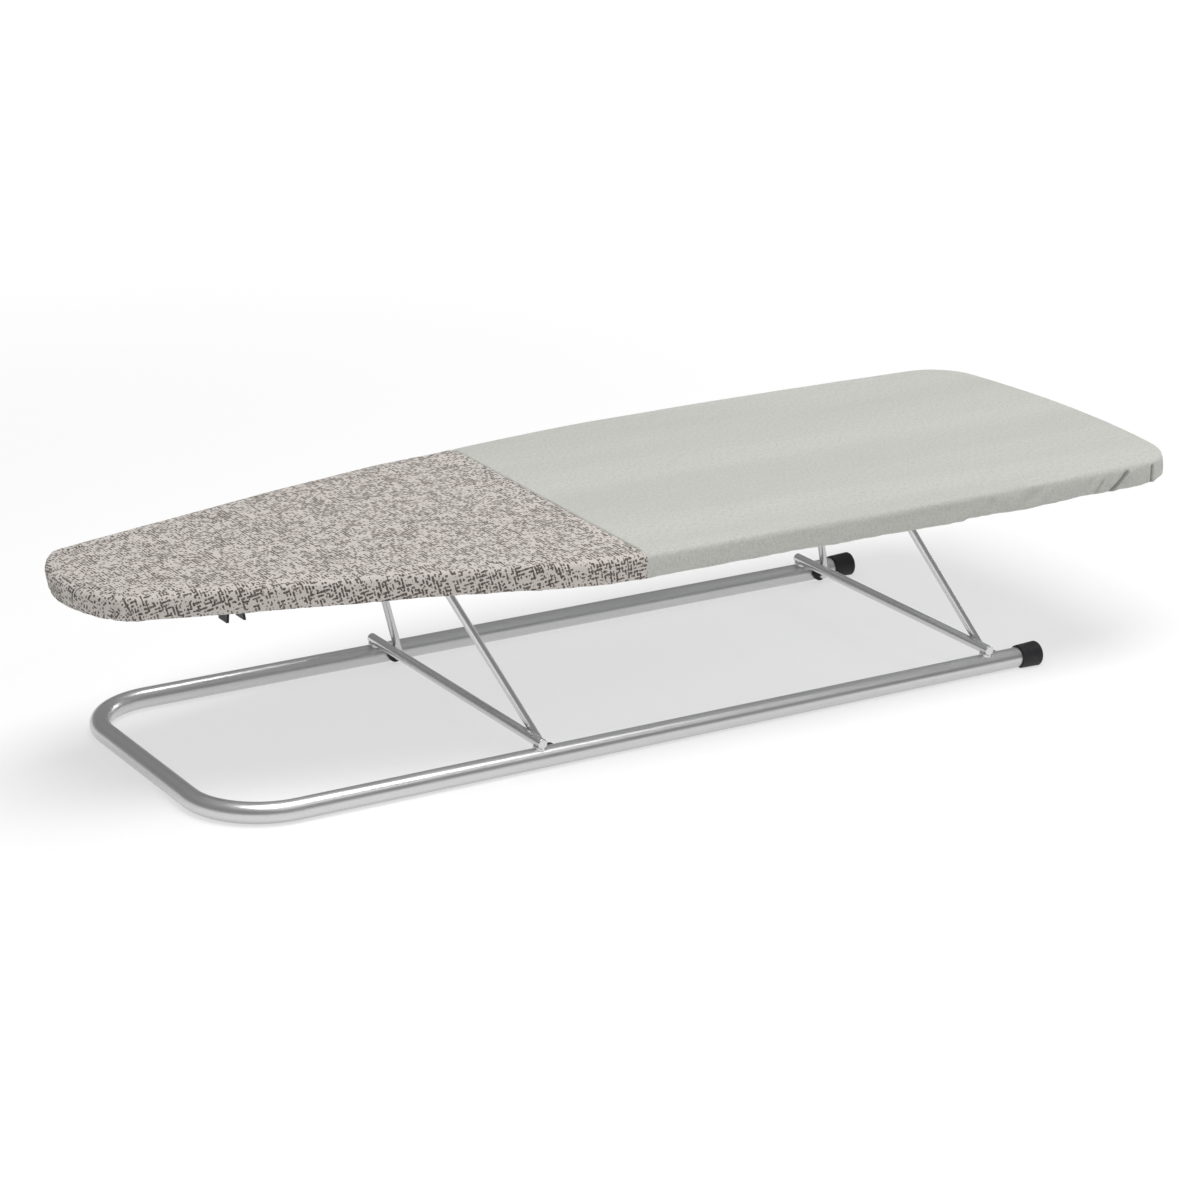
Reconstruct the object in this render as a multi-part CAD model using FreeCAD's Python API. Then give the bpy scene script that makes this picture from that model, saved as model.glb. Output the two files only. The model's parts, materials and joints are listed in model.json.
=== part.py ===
"""Tabletop ironing board with a folding parallelogram stand.

Frame: X runs from the pointed nose (-X) to the square tail (+X), Y is across the
board and Z is up, with Z = 0 on the table top.  X = 0 is half way along the board.
The board stands on two bent-wire leg frames that lean towards the nose and rest
against two cross rods welded on a U-shaped base tube.  All lengths in millimetres.
"""
import FreeCAD, Part

import math
import os

V = FreeCAD.Vector

# ---------------------------------------------------------------- board outline
BOARD_LENGTH = 794.0
NOSE_RADIUS = 86.0            # nearly flat front of the nose
NOSE_CORNER_RADIUS = 25.0
TAPER_START = (-346.0, 65.3)  # a point on the straight tapering side
TAPER_SLOPE = 0.2613
SIDE_RADIUS = 3100.0          # very shallow curve of the side behind the taper
SIDE_WIDEST_X = 184.0
HALF_WIDTH = 144.6
SHOULDER_RADIUS = 300.0       # where the taper runs into the side
TAIL_RADIUS = 650.0
TAIL_CORNER_RADIUS = 41.0
SEAM_X = -37.0                # cross seam between the two cover fabrics

# ---------------------------------------------------------------- board layers
TOP_Z = 142.0                 # ironing surface
HEM_Z = 125.4                 # lowest edge of the cover
CLOTH = 1.2
COVER_EDGE_RADIUS = 5.0
COVER_GAP = 0.2
HEM_FOLD_RADIUS = 0.8
HEM_WIDTH = 16.0
PAD_INSET = 1.6
PAD_THICKNESS = 4.2
PAD_EDGE_RADIUS = 3.2
PAD_GAP = 0.1                 # between pad and sheet
STEEL_INSET = 3.0
SHEET_THICKNESS = 0.6
SHEET_TOP_Z = 136.3
RIM_THICKNESS = 1.2
RIM_BOTTOM_Z = 127.0
ELASTIC_RADIUS = 0.9
ELASTIC_GAP = 0.3             # between the hem's edge and the cord
ELASTIC_Z = 125.9
STEAM_HOLE_RADIUS = 3.0
STEAM_PITCH = 22.0
STEAM_MARGIN = 16.0           # plain band inside the sheet's edge
STEAM_CLEAR = 6.0             # from a hole's centre to a rail or clip

# ---------------------------------------------------------------- base frame
TUBE_RADIUS = 7.0
TUBE_WALL = 1.0
TUBE_AXIS_Z = 7.0
BASE_HALF_TRACK = 115.0       # tube axis to centre line
BASE_BEND_RADIUS = 50.0
BASE_CLOSED_X = -339.7        # axis of the closed end
BASE_OPEN_X = 281.5           # cut ends of the tube, inside the caps
CAP_START_X = 267.5
CAP_END_X = 284.5
CAP_RADIUS_START = 8.2
CAP_RADIUS_END = 8.9
CAP_RIM_RADIUS = 2.0
ROD_RADIUS = 3.5
ROD_HALF_LENGTH = 119.5
ROD_END_RADIUS = 0.8
ROD_Z = 17.55                 # rods lie on top of the tubes
FRONT_ROD_X = -116.0
ROD_SPACING = 356.0
WELD_RADIUS = 4.6

# ---------------------------------------------------------------- legs
WIRE_RADIUS = 2.75
LEG_PIVOT_OFFSET = 11.8       # leg pivot behind its cross rod
LEG_LEAN = 0.448              # towards the nose, per unit of height
LEG_SPLAY = 0.451             # towards the centre line, per unit of height
LEG_FOOT_Y = 99.1             # bend at the foot
LEG_STUB_Y = 112.6            # end of the outward stub, inside the tube
TOP_PIVOT_Z = 124.2
LEG_FOOT_BEND = 6.0
LEG_TOP_BEND = 8.0
RUNNING_FIT = 0.06            # radial clearance of wire in bush and saddle
FOLD_ANGLE = 107.5            # degrees from standing to flat

# ---------------------------------------------------------------- hinge fittings
BUSH_FLANGE_RADIUS = 5.2
BUSH_SHANK_RADIUS = 3.9
BUSH_FLANGE_Y = 105.6
BUSH_TIP_Y = 111.0
BUSH_SHANK_START = 0.5        # behind the flange's face
SADDLE_Y = 30.0
SADDLE_WIDTH = 14.0
SADDLE_THICKNESS = 1.2
SADDLE_FLANGE = 12.0
RAIL_WIDTH = 36.0
RAIL_THICKNESS = 1.0
RAIL_LIP = 9.0
RIVET_RADIUS = 1.8
RIVET_HEAD_RADIUS = 3.5
RIVET_HEAD = 1.3

# ---------------------------------------------------------------- storage clips
CLIP_Y = 40.0
CLIP_WIDTH = 12.0
CLIP_PRONG = 1.7
CLIP_GAP = 8.0
CLIP_NOSE_FLARE = 0.5
CLIP_TAIL_FLARE = 1.7         # the rod enters from this side
CLIP_FLARE_HEIGHT = 9.0
CLIP_TIP_Z = 110.5
CLIP_BASE = 3.0
CLIP_WING = 11.0

# ---------------------------------------------------------------- worked out
SHEET_BOTTOM_Z = SHEET_TOP_Z - SHEET_THICKNESS
PAD_BOTTOM_Z = SHEET_TOP_Z + PAD_GAP
PAD_TOP_Z = PAD_BOTTOM_Z + PAD_THICKNESS
RAIL_BOTTOM_Z = TOP_PIVOT_Z + WIRE_RADIUS + RUNNING_FIT
LEG_RISE = TOP_PIVOT_Z - TUBE_AXIS_Z
FRONT_PIVOT_X = FRONT_ROD_X + LEG_PIVOT_OFFSET
REAR_ROD_X = FRONT_ROD_X + ROD_SPACING
REAR_PIVOT_X = FRONT_PIVOT_X + ROD_SPACING
LEG_TOP_SHIFT = -LEG_LEAN * LEG_RISE
LEG_TOP_Y = LEG_FOOT_Y - LEG_SPLAY * LEG_RISE
FRONT_TOP_X = FRONT_PIVOT_X + LEG_TOP_SHIFT
REAR_TOP_X = REAR_PIVOT_X + LEG_TOP_SHIFT
LEG_RADIUS = math.hypot(LEG_TOP_SHIFT, LEG_RISE)
LEAN_ANGLE = math.degrees(math.atan(LEG_LEAN))
FOLDED_ANGLE = math.radians(90.0 - (FOLD_ANGLE - LEAN_ANGLE))
FOLD_SHIFT_X = LEG_RADIUS * math.cos(FOLDED_ANGLE) - LEG_TOP_SHIFT
FOLD_DROP_Z = LEG_RISE - LEG_RADIUS * math.sin(FOLDED_ANGLE)
CLIP_X = FRONT_ROD_X - FOLD_SHIFT_X       # front rod seen from the folded board
CLIP_ROD_Z = ROD_Z + FOLD_DROP_Z
CLIP_REACH = CLIP_GAP / 2.0 + CLIP_PRONG + CLIP_WING


def export(name, shape):
    """Write one named piece."""
    shape.exportStep(os.path.join("parts", name + ".step"))


def single(shape):
    """Return the one solid inside a result that holds just one."""
    if len(shape.Solids) == 1:
        return shape.Solids[0]
    return shape


def cylinder_y(radius, x, y_from, y_to, z):
    """Cylinder along Y between two Y values."""
    low = min(y_from, y_to)
    return Part.makeCylinder(radius, abs(y_to - y_from), V(x, low, z), V(0, 1, 0))


def box(x0, x1, y0, y1, z0, z1):
    """Box from its lowest to its highest corner."""
    return Part.makeBox(x1 - x0, y1 - y0, z1 - z0, V(x0, y0, z0))


def rounded_path(points, radii):
    """Wire through points, each inner corner rounded by its radius."""
    edges = []
    start = points[0]
    for index in range(1, len(points) - 1):
        corner = points[index]
        back = (points[index - 1] - corner).normalize()
        ahead = (points[index + 1] - corner).normalize()
        half = back.getAngle(ahead) / 2.0
        radius = radii[index - 1]
        reach = radius / math.tan(half)
        arc_start = corner + back * reach
        arc_end = corner + ahead * reach
        middle = (back + ahead).normalize()
        centre = corner + middle * (radius / math.sin(half))
        arc_mid = centre - middle * radius
        edges.append(Part.LineSegment(start, arc_start).toShape())
        edges.append(Part.Arc(arc_start, arc_mid, arc_end).toShape())
        start = arc_end
    edges.append(Part.LineSegment(start, points[-1]).toShape())
    return Part.Wire(edges)


def sweep_circle(path, radius):
    """Round bar along a path of lines and tangent arcs."""
    first = path.OrderedEdges[0]
    origin = first.valueAt(first.FirstParameter)
    direction = first.tangentAt(first.FirstParameter)
    profile = Part.Wire([Part.makeCircle(radius, origin, direction)])
    return path.makePipeShell([profile], True, False)


# ================================================================ board outline
NOSE_CENTRE = V(-BOARD_LENGTH / 2.0 + NOSE_RADIUS, 0, 0)
SIDE_CENTRE = V(SIDE_WIDEST_X, HALF_WIDTH - SIDE_RADIUS, 0)
TAIL_CENTRE = V(BOARD_LENGTH / 2.0 - TAIL_RADIUS, 0, 0)
TAPER_POINT = V(TAPER_START[0], TAPER_START[1], 0)
TAPER_ALONG = V(1, TAPER_SLOPE, 0).normalize()
TAPER_OUT = V(-TAPER_SLOPE, 1, 0).normalize()


def corner_on_taper(circle_centre, reach, radius, side):
    """Centre that lies a radius inside the taper and a reach from a circle's centre."""
    start = TAPER_POINT - TAPER_OUT * radius
    offset = start - circle_centre
    along = offset.dot(TAPER_ALONG)
    root = math.sqrt(along ** 2 - offset.dot(offset) + reach ** 2)
    return start + TAPER_ALONG * (side * root - along)


def corner_on_circles(first, first_reach, second, second_reach):
    """Upper point at given reaches from two centres."""
    gap = second - first
    distance = gap.Length
    along = (distance ** 2 + first_reach ** 2 - second_reach ** 2) / (2.0 * distance)
    height = math.sqrt(first_reach ** 2 - along ** 2)
    direction = gap * (1.0 / distance)
    across = V(-direction.y, direction.x, 0)
    options = [first + direction * along + across * (side * height) for side in (-1, 1)]
    return max(options, key=lambda point: point.x)


def away(centre, point):
    """Unit vector from a centre to a point."""
    return (point - centre).normalize()


NOSE_CORNER = corner_on_taper(NOSE_CENTRE, NOSE_RADIUS - NOSE_CORNER_RADIUS, NOSE_CORNER_RADIUS, -1)
SHOULDER = corner_on_taper(SIDE_CENTRE, SIDE_RADIUS - SHOULDER_RADIUS, SHOULDER_RADIUS, 1)
TAIL_CORNER = corner_on_circles(SIDE_CENTRE, SIDE_RADIUS - TAIL_CORNER_RADIUS,
                                TAIL_CENTRE, TAIL_RADIUS - TAIL_CORNER_RADIUS)


def arc_edge(centre, radius, first, last, z):
    """Arc about a centre from one unit direction to another."""
    lift = V(0, 0, z)
    middle = (first + last).normalize()
    points = [centre + direction * radius + lift for direction in (first, middle, last)]
    return Part.Arc(*points).toShape()


def outline_wire(inset, z):
    """Board outline moved inwards by an inset, at a height.

    Every arc keeps its centre, so an inset only shortens the radii.
    """
    nose_side = away(NOSE_CENTRE, NOSE_CORNER)
    shoulder_side = away(SIDE_CENTRE, SHOULDER)
    tail_side = away(SIDE_CENTRE, TAIL_CORNER)
    tail_end = away(TAIL_CENTRE, TAIL_CORNER)
    corner_radius = NOSE_CORNER_RADIUS - inset
    shoulder_radius = SHOULDER_RADIUS - inset
    lift = V(0, 0, z)
    half = [
        arc_edge(NOSE_CORNER, corner_radius, nose_side, TAPER_OUT, z),
        Part.LineSegment(NOSE_CORNER + TAPER_OUT * corner_radius + lift,
                         SHOULDER + TAPER_OUT * shoulder_radius + lift).toShape(),
        arc_edge(SHOULDER, shoulder_radius, TAPER_OUT, shoulder_side, z),
        arc_edge(SIDE_CENTRE, SIDE_RADIUS - inset, shoulder_side, tail_side, z),
        arc_edge(TAIL_CORNER, TAIL_CORNER_RADIUS - inset, tail_side, tail_end, z),
    ]
    other_half = [edge.mirror(V(0, 0, 0), V(0, 1, 0)) for edge in half]
    nose = arc_edge(NOSE_CENTRE, NOSE_RADIUS - inset, nose_side, V(nose_side.x, -nose_side.y, 0), z)
    tail = arc_edge(TAIL_CENTRE, TAIL_RADIUS - inset, tail_end, V(tail_end.x, -tail_end.y, 0), z)
    return Part.Wire(Part.__sortEdges__(half + other_half + [nose, tail]))


def plate(inset, z0, z1):
    """Flat plate of the outline between two heights."""
    return Part.Face(outline_wire(inset, z0)).extrude(V(0, 0, z1 - z0))


def edges_at(shape, z):
    """Edges that lie flat at a height."""
    return [edge for edge in shape.Edges
            if abs(edge.BoundBox.ZMin - z) < 1e-4 and abs(edge.BoundBox.ZMax - z) < 1e-4]


# ================================================================ board pieces
def steam_hole_centres():
    """Staggered grid of hole centres that keeps clear of rails and clips."""
    centres = []
    row_step = STEAM_PITCH * math.sqrt(3.0) / 2.0
    rows = int(HALF_WIDTH / row_step)
    columns = int(BOARD_LENGTH / STEAM_PITCH)
    rail_reach = RAIL_WIDTH / 2.0 + RAIL_LIP + STEAM_CLEAR
    clip_reach_x = CLIP_REACH + STEAM_CLEAR
    clip_reach_y = CLIP_WIDTH / 2.0 + STEAM_CLEAR
    for row in range(-rows, rows + 1):
        y = row * row_step
        shift = STEAM_PITCH / 2.0 if row % 2 else 0.0
        for column in range(-columns, columns + 1):
            x = column * STEAM_PITCH + shift
            near_rail = min(abs(x - FRONT_TOP_X), abs(x - REAR_TOP_X)) < rail_reach
            near_clip = abs(x - CLIP_X) < clip_reach_x and abs(abs(y) - CLIP_Y) < clip_reach_y
            if not near_rail and not near_clip:
                centres.append((x, y))
    return centres


def steam_sheet():
    """Perforated steel sheet that carries the pad."""
    rim = outline_wire(STEEL_INSET, SHEET_BOTTOM_Z)
    allowed = Part.Face(outline_wire(STEEL_INSET + STEAM_MARGIN, SHEET_BOTTOM_Z))
    loops = [rim]
    for x, y in steam_hole_centres():
        centre = V(x, y, SHEET_BOTTOM_Z)
        if allowed.isInside(centre, 1e-6, True):
            loops.append(Part.Wire([Part.makeCircle(STEAM_HOLE_RADIUS, centre, V(0, 0, 1))]))
    for x, y in clip_rivet_centres():
        centre = V(x, y, SHEET_BOTTOM_Z)
        loops.append(Part.Wire([Part.makeCircle(RIVET_RADIUS, centre, V(0, 0, 1))]))
    return Part.Face(loops, "Part::FaceMakerBullseye").extrude(V(0, 0, SHEET_THICKNESS))


def board_rim():
    """Steel strip on edge, bent round the outline under the sheet."""
    outer = plate(STEEL_INSET, RIM_BOTTOM_Z, SHEET_BOTTOM_Z)
    inner = plate(STEEL_INSET + RIM_THICKNESS, RIM_BOTTOM_Z - 1, SHEET_BOTTOM_Z + 1)
    return outer.cut(inner)


def hinge_rail(x):
    """Pressed hat channel across the board, welded under the sheet."""
    half = RAIL_WIDTH / 2.0
    top = SHEET_BOTTOM_Z
    bottom = RAIL_BOTTOM_Z
    t = RAIL_THICKNESS
    section = [(-half - RAIL_LIP, top), (-half + t, top), (-half + t, bottom + t),
               (half - t, bottom + t), (half - t, top), (half + RAIL_LIP, top),
               (half + RAIL_LIP, top - t), (half, top - t), (half, bottom),
               (-half, bottom), (-half, top - t), (-half - RAIL_LIP, top - t)]
    points = [V(x + dx, -HALF_WIDTH, z) for dx, z in section]
    bar = Part.Face(Part.makePolygon(points + points[:1])).extrude(V(0, 2 * HALF_WIDTH, 0))
    room = plate(STEEL_INSET + RIM_THICKNESS, bottom - 1, top + 1)
    rail = bar.common(room)
    for hole_x, hole_y in saddle_rivet_centres(x):
        rail = rail.cut(Part.makeCylinder(RIVET_RADIUS, 4, V(hole_x, hole_y, bottom - 1)))
    return single(rail)


def saddle_rivet_centres(x):
    """Two rivets through each of the two saddles on a rail."""
    reach = WIRE_RADIUS + RUNNING_FIT + SADDLE_THICKNESS + SADDLE_FLANGE / 2.0
    return [(x + side * reach, sign * SADDLE_Y) for side in (-1, 1) for sign in (-1, 1)]


def hinge_saddle(x, y):
    """Omega strap that holds the leg's top bar against the rail."""
    inner = WIRE_RADIUS + RUNNING_FIT
    outer = inner + SADDLE_THICKNESS
    y0 = y - SADDLE_WIDTH / 2.0
    y1 = y + SADDLE_WIDTH / 2.0
    top = RAIL_BOTTOM_Z
    reach = outer + SADDLE_FLANGE
    strap = box(x - reach, x + reach, y0, y1, top - SADDLE_THICKNESS, top)
    strap = strap.fuse(box(x - outer, x + outer, y0, y1, TOP_PIVOT_Z, top))
    strap = strap.fuse(cylinder_y(outer, x, y0, y1, TOP_PIVOT_Z))
    strap = strap.cut(cylinder_y(inner, x, y0 - 1, y1 + 1, TOP_PIVOT_Z))
    strap = strap.cut(box(x - inner, x + inner, y0 - 1, y1 + 1, TOP_PIVOT_Z, top + 1))
    strap = strap.cut(box(x - outer, x + outer, y0 - 1, y1 + 1, top, top + outer))
    for side in (-1, 1):
        hole = V(x + side * (outer + SADDLE_FLANGE / 2.0), y, top - 3)
        strap = strap.cut(Part.makeCylinder(RIVET_RADIUS, 6, hole))
    return single(strap.removeSplitter())


def rivet(x, y, head_z, top_z):
    """Domed head below, shank up to top_z."""
    shank = Part.makeCylinder(RIVET_RADIUS, top_z - head_z, V(x, y, head_z))
    dome_radius = (RIVET_HEAD_RADIUS ** 2 + RIVET_HEAD ** 2) / (2.0 * RIVET_HEAD)
    dome = Part.makeSphere(dome_radius, V(x, y, head_z - RIVET_HEAD + dome_radius))
    head = dome.common(Part.makeCylinder(RIVET_HEAD_RADIUS + 1, RIVET_HEAD, V(x, y, head_z - RIVET_HEAD)))
    return single(head.fuse(shank).removeSplitter())


def saddle_rivets():
    """Eight rivets through the saddles and the rails."""
    solids = []
    for rail_x in (FRONT_TOP_X, REAR_TOP_X):
        for x, y in saddle_rivet_centres(rail_x):
            solids.append(rivet(x, y, RAIL_BOTTOM_Z - SADDLE_THICKNESS, RAIL_BOTTOM_Z + RAIL_THICKNESS))
    return Part.makeCompound(solids)


def clip_rivet_centres():
    """Two rivets through each storage clip."""
    reach = CLIP_REACH - CLIP_WING / 2.0
    return [(CLIP_X + side * reach, sign * CLIP_Y) for side in (-1, 1) for sign in (-1, 1)]


def storage_clip(y):
    """Two-pronged plastic clip that catches the front cross rod when folded."""
    y0 = y - CLIP_WIDTH / 2.0
    half = CLIP_GAP / 2.0
    outer = half + CLIP_PRONG
    top = SHEET_BOTTOM_Z
    base = top - CLIP_BASE
    tip = CLIP_TIP_Z
    mouth = tip + CLIP_FLARE_HEIGHT
    seat = CLIP_ROD_Z + half
    section = [(-CLIP_REACH, top), (CLIP_REACH, top), (CLIP_REACH, base), (outer, base), (outer, mouth),
               (outer + CLIP_TAIL_FLARE, tip), (half + CLIP_TAIL_FLARE, tip), (half, mouth),
               (half, seat), (-half, seat), (-half, mouth),
               (-half - CLIP_NOSE_FLARE, tip), (-outer - CLIP_NOSE_FLARE, tip), (-outer, mouth),
               (-outer, base), (-CLIP_REACH, base)]
    points = [V(CLIP_X + dx, y0, z) for dx, z in section]
    body = Part.Face(Part.makePolygon(points + points[:1])).extrude(V(0, CLIP_WIDTH, 0))
    for x, hole_y in clip_rivet_centres():
        if abs(hole_y - y) < CLIP_WIDTH:
            start = V(x, hole_y, base - 1)
            body = body.cut(Part.makeCylinder(RIVET_RADIUS, CLIP_BASE + 2, start))
    return single(body)


def clip_rivets():
    """Four rivets that hold the storage clips to the sheet."""
    solids = [rivet(x, y, SHEET_BOTTOM_Z - CLIP_BASE, SHEET_TOP_Z) for x, y in clip_rivet_centres()]
    return Part.makeCompound(solids)


def felt_pad():
    """Pad between the steel sheet and the cover."""
    pad = plate(PAD_INSET, PAD_BOTTOM_Z, PAD_TOP_Z)
    return pad.makeFillet(PAD_EDGE_RADIUS, edges_at(pad, PAD_TOP_Z))


def cover():
    """Whole cover: top, skirt and the hem turned in under the rim."""
    outer = plate(0.0, HEM_Z, TOP_Z)
    outer = outer.makeFillet(COVER_EDGE_RADIUS, edges_at(outer, TOP_Z))
    outer = outer.makeFillet(HEM_FOLD_RADIUS, edges_at(outer, HEM_Z))
    inner = plate(CLOTH + COVER_GAP, HEM_Z + CLOTH, TOP_Z - CLOTH)
    inner = inner.makeFillet(COVER_EDGE_RADIUS - CLOTH - COVER_GAP, edges_at(inner, TOP_Z - CLOTH))
    mouth = plate(HEM_WIDTH, HEM_Z - 1, HEM_Z + CLOTH + 1)
    return outer.cut(inner).cut(mouth)


def cover_panels():
    """The cover divided at the cross seam."""
    whole = cover()
    reach = BOARD_LENGTH
    nose_side = box(-reach, SEAM_X, -reach, reach, 0, reach)
    tail_side = box(SEAM_X, reach, -reach, reach, 0, reach)
    return single(whole.common(nose_side)), single(whole.common(tail_side))


def hem_elastic():
    """Elastic cord that draws the hem in under the rim."""
    path = outline_wire(HEM_WIDTH + ELASTIC_GAP + ELASTIC_RADIUS, ELASTIC_Z)
    return single(Part.makeSolid(sweep_circle(Part.Wire(path.OrderedEdges), ELASTIC_RADIUS)))


# ================================================================ base pieces
def base_path():
    """Axis of the U-shaped tube."""
    points = [V(BASE_OPEN_X, -BASE_HALF_TRACK, TUBE_AXIS_Z),
              V(BASE_CLOSED_X, -BASE_HALF_TRACK, TUBE_AXIS_Z),
              V(BASE_CLOSED_X, BASE_HALF_TRACK, TUBE_AXIS_Z),
              V(BASE_OPEN_X, BASE_HALF_TRACK, TUBE_AXIS_Z)]
    return rounded_path(points, [BASE_BEND_RADIUS, BASE_BEND_RADIUS])


def solid_tube_bar():
    """Outside of the base tube as a solid bar."""
    return sweep_circle(base_path(), TUBE_RADIUS)


def base_tube():
    """Bent tube with four bush holes in its inner walls."""
    tube = solid_tube_bar().cut(sweep_circle(base_path(), TUBE_RADIUS - TUBE_WALL))
    for x in (FRONT_PIVOT_X, REAR_PIVOT_X):
        for sign in (-1, 1):
            hole = cylinder_y(BUSH_SHANK_RADIUS, x, sign * BASE_HALF_TRACK, sign * LEG_FOOT_Y, TUBE_AXIS_Z)
            tube = tube.cut(hole)
    return single(tube)


def cross_rod(x):
    """Straight rod with softly rounded ends, lying on the tubes."""
    rod = cylinder_y(ROD_RADIUS, x, -ROD_HALF_LENGTH, ROD_HALF_LENGTH, ROD_Z)
    ends = [edge for edge in rod.Edges if edge.BoundBox.YLength < ROD_RADIUS]
    return rod.makeFillet(ROD_END_RADIUS, ends)


def weld_beads(tube_bar):
    """Small weld beads where each rod crosses each tube."""
    solids = []
    for x in (FRONT_ROD_X, REAR_ROD_X):
        rod = cylinder_y(ROD_RADIUS, x, -ROD_HALF_LENGTH, ROD_HALF_LENGTH, ROD_Z)
        for sign in (-1, 1):
            bead = Part.makeSphere(WELD_RADIUS, V(x, sign * BASE_HALF_TRACK, ROD_Z - ROD_RADIUS))
            bead = bead.cut(rod).cut(tube_bar)
            solids += bead.Solids
    return Part.makeCompound(solids)


def end_cap(sign):
    """Rubber ferrule on a cut tube end, with a flat foot at table level."""
    y = sign * BASE_HALF_TRACK
    axis = V(1, 0, 0)
    length = CAP_END_X - CAP_START_X
    body = Part.makeCone(CAP_RADIUS_START, CAP_RADIUS_END, length, V(CAP_START_X, y, TUBE_AXIS_Z), axis)
    rim = [edge for edge in body.Edges if edge.BoundBox.XMin > CAP_END_X - 0.01]
    body = body.makeFillet(CAP_RIM_RADIUS, rim)
    bore_depth = BASE_OPEN_X - CAP_START_X
    body = body.cut(Part.makeCylinder(TUBE_RADIUS, bore_depth, V(CAP_START_X, y, TUBE_AXIS_Z), axis))
    below = box(CAP_START_X - 1, CAP_END_X + 1, y - length, y + length, -length, 0)
    return single(body.cut(below))


def pivot_bush(x, sign, tube_bar):
    """Flanged plastic bush in the inner wall of a tube."""
    z = TUBE_AXIS_Z
    flange = cylinder_y(BUSH_FLANGE_RADIUS, x, sign * BUSH_FLANGE_Y, sign * BUSH_TIP_Y, z).cut(tube_bar)
    shank = cylinder_y(BUSH_SHANK_RADIUS, x, sign * (BUSH_FLANGE_Y + BUSH_SHANK_START), sign * BUSH_TIP_Y, z)
    bore = cylinder_y(WIRE_RADIUS + RUNNING_FIT, x, sign * LEG_FOOT_Y, sign * BASE_HALF_TRACK, z)
    return single(flange.fuse(shank).cut(bore).removeSplitter())


def leg_wire(pivot_x):
    """One bent wire: two outward feet, two splayed legs and the top bar."""
    top_x = pivot_x + LEG_TOP_SHIFT
    points = [V(pivot_x, -LEG_STUB_Y, TUBE_AXIS_Z), V(pivot_x, -LEG_FOOT_Y, TUBE_AXIS_Z),
              V(top_x, -LEG_TOP_Y, TOP_PIVOT_Z), V(top_x, LEG_TOP_Y, TOP_PIVOT_Z),
              V(pivot_x, LEG_FOOT_Y, TUBE_AXIS_Z), V(pivot_x, LEG_STUB_Y, TUBE_AXIS_Z)]
    path = rounded_path(points, [LEG_FOOT_BEND, LEG_TOP_BEND, LEG_TOP_BEND, LEG_FOOT_BEND])
    return sweep_circle(path, WIRE_RADIUS)


def main():
    """Write every piece to the parts folder."""
    os.makedirs("parts", exist_ok=True)
    tube_bar = solid_tube_bar()
    sides = (("near", -1), ("far", 1))
    ends = (("front", FRONT_PIVOT_X, FRONT_TOP_X, FRONT_ROD_X),
            ("rear", REAR_PIVOT_X, REAR_TOP_X, REAR_ROD_X))

    export("base_tube", base_tube())
    export("weld_beads", weld_beads(tube_bar))
    for side, sign in sides:
        export("end_cap_" + side, end_cap(sign))
        export("storage_clip_" + side, storage_clip(sign * CLIP_Y))
    for end, pivot_x, top_x, rod_x in ends:
        export(end + "_cross_rod", cross_rod(rod_x))
        export(end + "_leg_wire", leg_wire(pivot_x))
        export(end + "_hinge_rail", hinge_rail(top_x))
        for side, sign in sides:
            export(end + "_pivot_bush_" + side, pivot_bush(pivot_x, sign, tube_bar))
            export(end + "_hinge_saddle_" + side, hinge_saddle(top_x, sign * SADDLE_Y))
    export("saddle_rivets", saddle_rivets())
    export("clip_rivets", clip_rivets())
    export("steam_sheet", steam_sheet())
    export("board_rim", board_rim())
    export("felt_pad", felt_pad())
    nose_panel, tail_panel = cover_panels()
    export("cover_nose_panel", nose_panel)
    export("cover_tail_panel", tail_panel)
    export("hem_elastic", hem_elastic())


main()
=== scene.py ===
import json
import math

import bmesh
import bpy
import numpy as np
from mathutils import Matrix, Vector
from mathutils.geometry import delaunay_2d_cdt


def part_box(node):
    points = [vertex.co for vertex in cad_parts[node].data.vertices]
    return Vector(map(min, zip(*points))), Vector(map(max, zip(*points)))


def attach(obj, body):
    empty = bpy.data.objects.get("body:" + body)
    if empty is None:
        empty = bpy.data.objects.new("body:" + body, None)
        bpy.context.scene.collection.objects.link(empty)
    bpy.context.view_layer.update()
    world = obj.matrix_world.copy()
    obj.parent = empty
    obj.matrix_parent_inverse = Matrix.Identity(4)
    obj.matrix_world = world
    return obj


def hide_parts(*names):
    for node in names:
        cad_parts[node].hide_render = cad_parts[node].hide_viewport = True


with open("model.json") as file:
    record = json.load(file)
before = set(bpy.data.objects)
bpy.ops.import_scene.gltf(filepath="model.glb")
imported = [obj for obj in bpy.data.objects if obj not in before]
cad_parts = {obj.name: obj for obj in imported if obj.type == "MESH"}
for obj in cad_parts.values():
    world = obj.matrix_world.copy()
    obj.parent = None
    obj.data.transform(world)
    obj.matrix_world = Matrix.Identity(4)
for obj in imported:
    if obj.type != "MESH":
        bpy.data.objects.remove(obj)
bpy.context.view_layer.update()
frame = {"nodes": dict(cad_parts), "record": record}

MM = 0.001
STUDIO_LEVEL = 1.12              # brightness of a white surface that faces up
THREAD_DRIFT = 0.9               # how far slow noise moves the threads of a cloth, in millimetres
NODES = frame["nodes"]

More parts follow.
